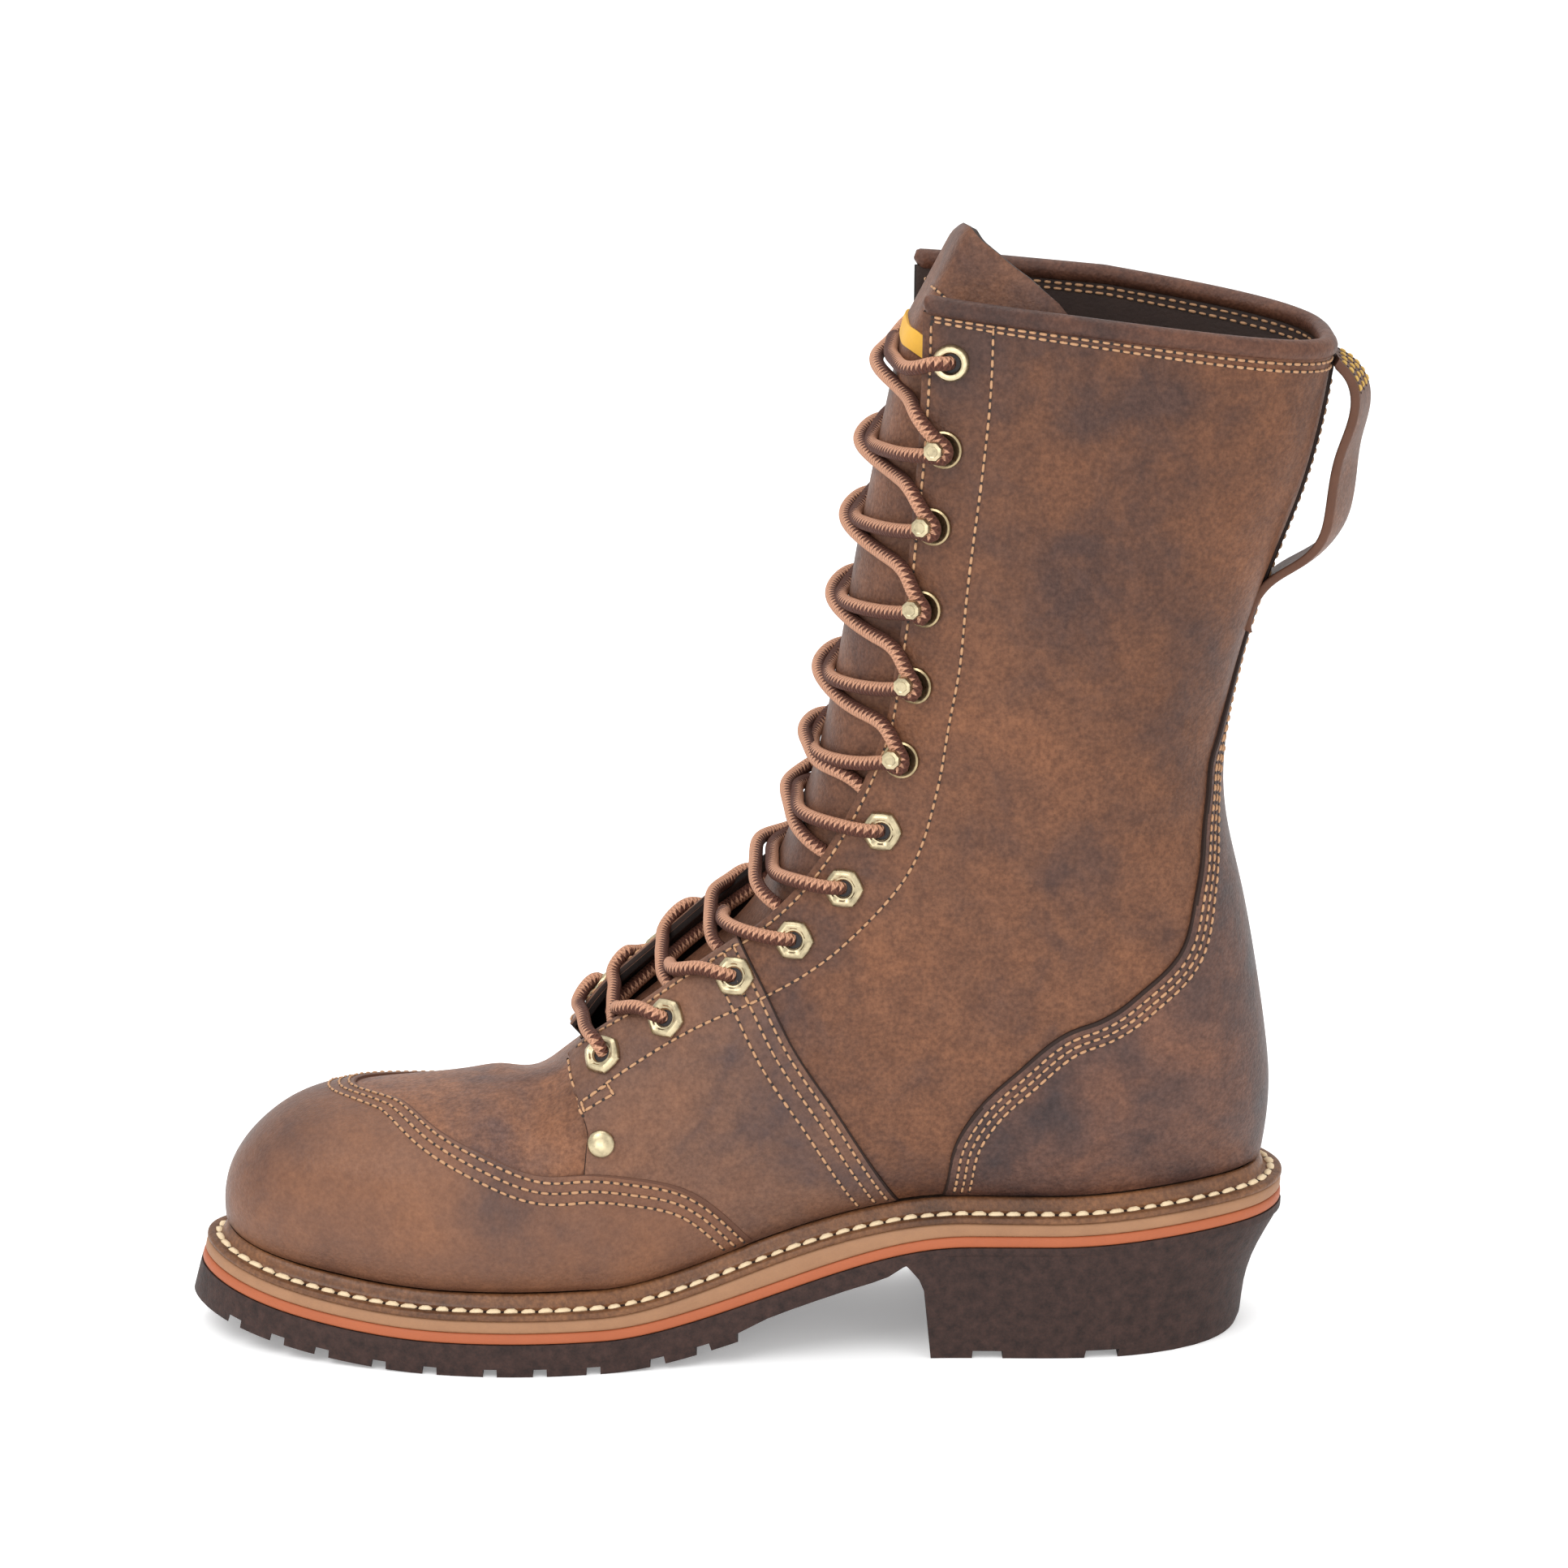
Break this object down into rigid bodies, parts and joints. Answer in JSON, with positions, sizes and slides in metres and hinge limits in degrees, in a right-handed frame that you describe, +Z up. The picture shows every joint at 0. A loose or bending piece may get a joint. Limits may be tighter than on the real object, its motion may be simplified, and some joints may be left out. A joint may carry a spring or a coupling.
{
  "type": "lace-up work boot",
  "caption": "Tall lace-up lineman work boot for the right foot: hollow leather upper with capped toe, heel counter, tongue, eyelets and hooks on a welted lugged sole with a block heel.",
  "frame": {"origin": "on the floor under the middle of the whole boot's box", "axes": "+X to the toe, +Y to the medial (inner) side, +Z up; heel and ball of the sole on z = 0"},
  "size_m": [0.3398, 0.1028, 0.3285],
  "materials": {
    "leather": "brown oiled leather, fine grain, slight gloss",
    "tongue": "dark brown padded leather",
    "welt": "brown welt leather",
    "insole": "plain insole board",
    "tan_midsole": "tan-grey midsole edge",
    "orange_midsole": "orange midsole edge",
    "rubber": "dark brown matt rubber",
    "brass": "pale antique brass",
    "lace": "round braided cord in two browns"
  },
  "bodies": {
    "root": {"accent_midsole": "orange_midsole", "collar_binding": "leather", "eyelet_lateral_1": "brass", "eyelet_lateral_2": "brass", "eyelet_lateral_3": "brass", "eyelet_lateral_4": "brass", "eyelet_lateral_5": "brass", "eyelet_lateral_6": "brass", "eyelet_lateral_7": "brass", "eyelet_medial_1": "brass", "eyelet_medial_2": "brass", "eyelet_medial_3": "brass", "eyelet_medial_4": "brass", "eyelet_medial_5": "brass", "eyelet_medial_6": "brass", "eyelet_medial_7": "brass", "heel": "rubber", "heel_counter": "leather", "hook_lateral_1": "brass", "hook_lateral_2": "brass", "hook_lateral_3": "brass", "hook_lateral_4": "brass", "hook_lateral_5": "brass", "hook_medial_1": "brass", "hook_medial_2": "brass", "hook_medial_3": "brass", "hook_medial_4": "brass", "hook_medial_5": "brass", "insole": "insole", "lace_bar": "lace", "lace_cross_1": "lace", "lace_cross_10": "lace", "lace_cross_11": "lace", "lace_cross_2": "lace", "lace_cross_3": "lace", "lace_cross_4": "lace", "lace_cross_5": "lace", "lace_cross_6": "lace", "lace_cross_7": "lace", "lace_cross_8": "lace", "lace_cross_9": "lace", "midsole": "tan_midsole", "outsole": "rubber", "pull_loop": "leather", "rivet_lateral": "brass", "rivet_medial": "brass", "toe_cap": "leather", "tongue": "tongue", "upper": "leather", "welt": "welt"}
  },
  "joints": []
}
